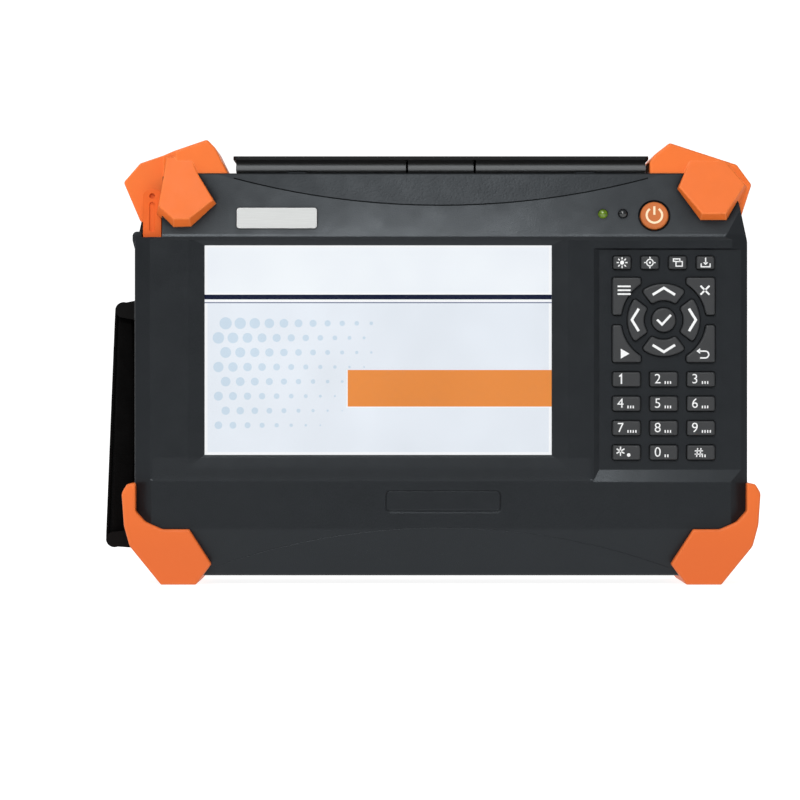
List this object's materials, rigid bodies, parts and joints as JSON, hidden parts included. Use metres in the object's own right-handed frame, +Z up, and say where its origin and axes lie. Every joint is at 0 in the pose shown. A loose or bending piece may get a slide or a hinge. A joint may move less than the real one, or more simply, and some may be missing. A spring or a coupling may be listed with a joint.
{
  "type": "ethernet cable tester",
  "caption": "Rugged handheld Ethernet tester with a wide touch screen, push-button keypad, rubber corner bumpers, hinged dust cover, tilt stand, hand strap and stylus.",
  "frame": {"origin": "middle of the footprint, on the surface that the lower bumpers stand on", "axes": "+X to the right of someone facing the screen, -Y out of the screen, +Z up"},
  "size_m": [0.2885, 0.0669, 0.1952],
  "materials": {
    "case_plastic": "fine spark-eroded texture, satin",
    "cover_plastic": "satin",
    "bumper_rubber": "matt, soft",
    "stylus_plastic": "satin",
    "key_plastic": "satin with printed legends",
    "power_plastic": "satin with a printed sign",
    "screen_glass": "smooth",
    "display": "lit panel",
    "circuit_board": "solder mask",
    "steel": "satin",
    "plate_metal": "fine satin, blank",
    "socket_plastic": "moulded",
    "lamp_green": "clear tinted lens",
    "lamp_dark": "clear tinted lens",
    "strap_fabric": "woven, padded",
    "silicone": "matt",
    "battery_wrap": "shrink wrap over metal cells"
  },
  "bodies": {
    "case": {"battery_door": "cover_plastic", "battery_door_screws": "steel", "battery_pack": "battery_wrap", "board_screws": "steel", "bumper_bottom_left": "bumper_rubber", "bumper_bottom_right": "bumper_rubber", "bumper_top_left": "bumper_rubber", "bumper_top_right": "bumper_rubber", "case_gasket": "silicone", "case_screws": "steel", "charge_led": "lamp_dark", "connector_panel": "cover_plastic", "dc_jack": "socket_plastic", "front_cover": "case_plastic", "hand_strap": "strap_fabric", "hinge_pins": "steel", "keypad_board": "circuit_board", "keypad_membrane": "silicone", "lcd_bracket": "steel", "lcd_module": "display", "led_board": "circuit_board", "main_board": "circuit_board", "name_plate": "plate_metal", "power_led": "lamp_green", "rear_case": "cover_plastic", "rj45_jacks": "socket_plastic", "screen_glass": "screen_glass", "sfp_cages": "steel", "strap_bars": "steel", "usb_socket": "steel"},
    "dust_cover": {"dust_cover": "cover_plastic"},
    "tilt_stand": {"tilt_stand": "cover_plastic"},
    "stylus": {"stylus": "stylus_plastic"},
    "power_button": {"power_button": "power_plastic"},
    "key_light": {"key_light": "key_plastic"},
    "key_locate": {"key_locate": "key_plastic"},
    "key_windows": {"key_windows": "key_plastic"},
    "key_save": {"key_save": "key_plastic"},
    "key_menu": {"key_menu": "key_plastic"},
    "key_delete": {"key_delete": "key_plastic"},
    "key_start": {"key_start": "key_plastic"},
    "key_escape": {"key_escape": "key_plastic"},
    "key_right": {"key_right": "key_plastic"},
    "key_up": {"key_up": "key_plastic"},
    "key_left": {"key_left": "key_plastic"},
    "key_down": {"key_down": "key_plastic"},
    "key_ok": {"key_ok": "key_plastic"},
    "key_1": {"key_1": "key_plastic"},
    "key_2": {"key_2": "key_plastic"},
    "key_3": {"key_3": "key_plastic"},
    "key_4": {"key_4": "key_plastic"},
    "key_5": {"key_5": "key_plastic"},
    "key_6": {"key_6": "key_plastic"},
    "key_7": {"key_7": "key_plastic"},
    "key_8": {"key_8": "key_plastic"},
    "key_9": {"key_9": "key_plastic"},
    "key_star": {"key_star": "key_plastic"},
    "key_0": {"key_0": "key_plastic"},
    "key_hash": {"key_hash": "key_plastic"}
  },
  "joints": [
    {"name": "dust_cover_hinge", "type": "hinge", "parent": "case", "child": "dust_cover", "pos_m": [0.00445, 0.0208, 0.1842], "axis": [-1, 0, 0], "range_deg": [0, 105]},
    {"name": "tilt_stand_hinge", "type": "hinge", "parent": "case", "child": "tilt_stand", "pos_m": [-0.03355, 0.0278, 0.118], "axis": [1, 0, 0], "range_deg": [0, 65]},
    {"name": "stylus_slide", "type": "slide", "parent": "case", "child": "stylus", "axis": [0, 0, 1], "range_m": [0, 0.1]},
    {"name": "power_button_press", "type": "slide", "parent": "case", "child": "power_button", "axis": [0, 0.9783, -0.2074], "range_m": [0, 0.0009], "stiffness_N_per_m": 1500},
    {"name": "key_light_press", "type": "slide", "parent": "case", "child": "key_light", "axis": [0, 1, 0], "range_m": [0, 0.0009], "stiffness_N_per_m": 1200, "deforming": ["keypad_membrane"]},
    {"name": "key_locate_press", "type": "slide", "parent": "case", "child": "key_locate", "axis": [0, 1, 0], "range_m": [0, 0.0009], "stiffness_N_per_m": 1200, "deforming": ["keypad_membrane"]},
    {"name": "key_windows_press", "type": "slide", "parent": "case", "child": "key_windows", "axis": [0, 1, 0], "range_m": [0, 0.0009], "stiffness_N_per_m": 1200, "deforming": ["keypad_membrane"]},
    {"name": "key_save_press", "type": "slide", "parent": "case", "child": "key_save", "axis": [0, 1, 0], "range_m": [0, 0.0009], "stiffness_N_per_m": 1200, "deforming": ["keypad_membrane"]},
    {"name": "key_menu_press", "type": "slide", "parent": "case", "child": "key_menu", "axis": [0, 1, 0], "range_m": [0, 0.0009], "stiffness_N_per_m": 1200, "deforming": ["keypad_membrane"]},
    {"name": "key_delete_press", "type": "slide", "parent": "case", "child": "key_delete", "axis": [0, 1, 0], "range_m": [0, 0.0009], "stiffness_N_per_m": 1200, "deforming": ["keypad_membrane"]},
    {"name": "key_start_press", "type": "slide", "parent": "case", "child": "key_start", "axis": [0, 1, 0], "range_m": [0, 0.0009], "stiffness_N_per_m": 1200, "deforming": ["keypad_membrane"]},
    {"name": "key_escape_press", "type": "slide", "parent": "case", "child": "key_escape", "axis": [0, 1, 0], "range_m": [0, 0.0009], "stiffness_N_per_m": 1200, "deforming": ["keypad_membrane"]},
    {"name": "key_right_press", "type": "slide", "parent": "case", "child": "key_right", "axis": [0, 1, 0], "range_m": [0, 0.0009], "stiffness_N_per_m": 1200, "deforming": ["keypad_membrane"]},
    {"name": "key_up_press", "type": "slide", "parent": "case", "child": "key_up", "axis": [0, 1, 0], "range_m": [0, 0.0009], "stiffness_N_per_m": 1200, "deforming": ["keypad_membrane"]},
    {"name": "key_left_press", "type": "slide", "parent": "case", "child": "key_left", "axis": [0, 1, 0], "range_m": [0, 0.0009], "stiffness_N_per_m": 1200, "deforming": ["keypad_membrane"]},
    {"name": "key_down_press", "type": "slide", "parent": "case", "child": "key_down", "axis": [0, 1, 0], "range_m": [0, 0.0009], "stiffness_N_per_m": 1200, "deforming": ["keypad_membrane"]},
    {"name": "key_ok_press", "type": "slide", "parent": "case", "child": "key_ok", "axis": [0, 1, 0], "range_m": [0, 0.0009], "stiffness_N_per_m": 1200, "deforming": ["keypad_membrane"]},
    {"name": "key_1_press", "type": "slide", "parent": "case", "child": "key_1", "axis": [0, 1, 0], "range_m": [0, 0.0009], "stiffness_N_per_m": 1200, "deforming": ["keypad_membrane"]},
    {"name": "key_2_press", "type": "slide", "parent": "case", "child": "key_2", "axis": [0, 1, 0], "range_m": [0, 0.0009], "stiffness_N_per_m": 1200, "deforming": ["keypad_membrane"]},
    {"name": "key_3_press", "type": "slide", "parent": "case", "child": "key_3", "axis": [0, 1, 0], "range_m": [0, 0.0009], "stiffness_N_per_m": 1200, "deforming": ["keypad_membrane"]},
    {"name": "key_4_press", "type": "slide", "parent": "case", "child": "key_4", "axis": [0, 1, 0], "range_m": [0, 0.0009], "stiffness_N_per_m": 1200, "deforming": ["keypad_membrane"]},
    {"name": "key_5_press", "type": "slide", "parent": "case", "child": "key_5", "axis": [0, 1, 0], "range_m": [0, 0.0009], "stiffness_N_per_m": 1200, "deforming": ["keypad_membrane"]},
    {"name": "key_6_press", "type": "slide", "parent": "case", "child": "key_6", "axis": [0, 1, 0], "range_m": [0, 0.0009], "stiffness_N_per_m": 1200, "deforming": ["keypad_membrane"]},
    {"name": "key_7_press", "type": "slide", "parent": "case", "child": "key_7", "axis": [0, 1, 0], "range_m": [0, 0.0009], "stiffness_N_per_m": 1200, "deforming": ["keypad_membrane"]},
    {"name": "key_8_press", "type": "slide", "parent": "case", "child": "key_8", "axis": [0, 1, 0], "range_m": [0, 0.0009], "stiffness_N_per_m": 1200, "deforming": ["keypad_membrane"]},
    {"name": "key_9_press", "type": "slide", "parent": "case", "child": "key_9", "axis": [0, 1, 0], "range_m": [0, 0.0009], "stiffness_N_per_m": 1200, "deforming": ["keypad_membrane"]},
    {"name": "key_star_press", "type": "slide", "parent": "case", "child": "key_star", "axis": [0, 1, 0], "range_m": [0, 0.0009], "stiffness_N_per_m": 1200, "deforming": ["keypad_membrane"]},
    {"name": "key_0_press", "type": "slide", "parent": "case", "child": "key_0", "axis": [0, 1, 0], "range_m": [0, 0.0009], "stiffness_N_per_m": 1200, "deforming": ["keypad_membrane"]},
    {"name": "key_hash_press", "type": "slide", "parent": "case", "child": "key_hash", "axis": [0, 1, 0], "range_m": [0, 0.0009], "stiffness_N_per_m": 1200, "deforming": ["keypad_membrane"]}
  ]
}
